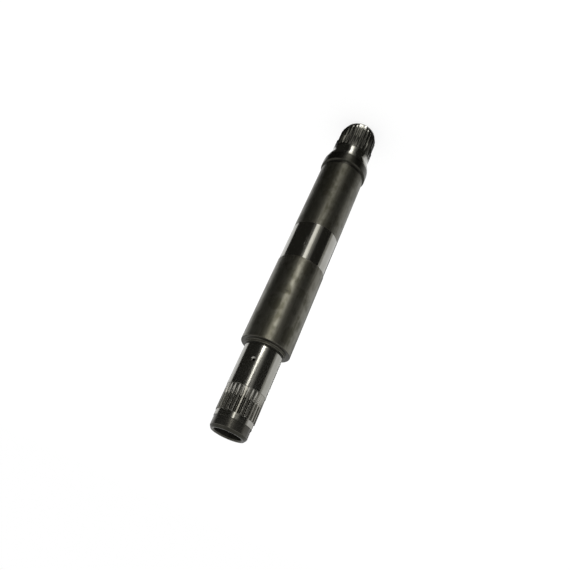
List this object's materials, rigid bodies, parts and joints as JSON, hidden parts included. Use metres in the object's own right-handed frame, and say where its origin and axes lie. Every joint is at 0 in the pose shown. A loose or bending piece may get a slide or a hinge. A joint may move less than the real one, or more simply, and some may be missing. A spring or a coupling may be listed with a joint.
{
  "type": "splined shaft",
  "caption": "Turned steel shaft with a toothed spline near each end, a collar, a ground seal band, a bearing journal with an oil hole, and a bored nose.",
  "frame": {"origin": "centre of the foot face, at the end of the larger spline, on which the shaft stands", "axes": "+Z along the shaft's axis, from the larger spline to the bored nose; the oil hole opens at 71 degrees from +X towards -Y"},
  "size_m": [0.048, 0.048, 0.355],
  "materials": {
    "steel": "dark oiled steel: satin where it was turned, bright where it was ground"
  },
  "bodies": {
    "root": {"splined_shaft": "steel"}
  },
  "joints": []
}
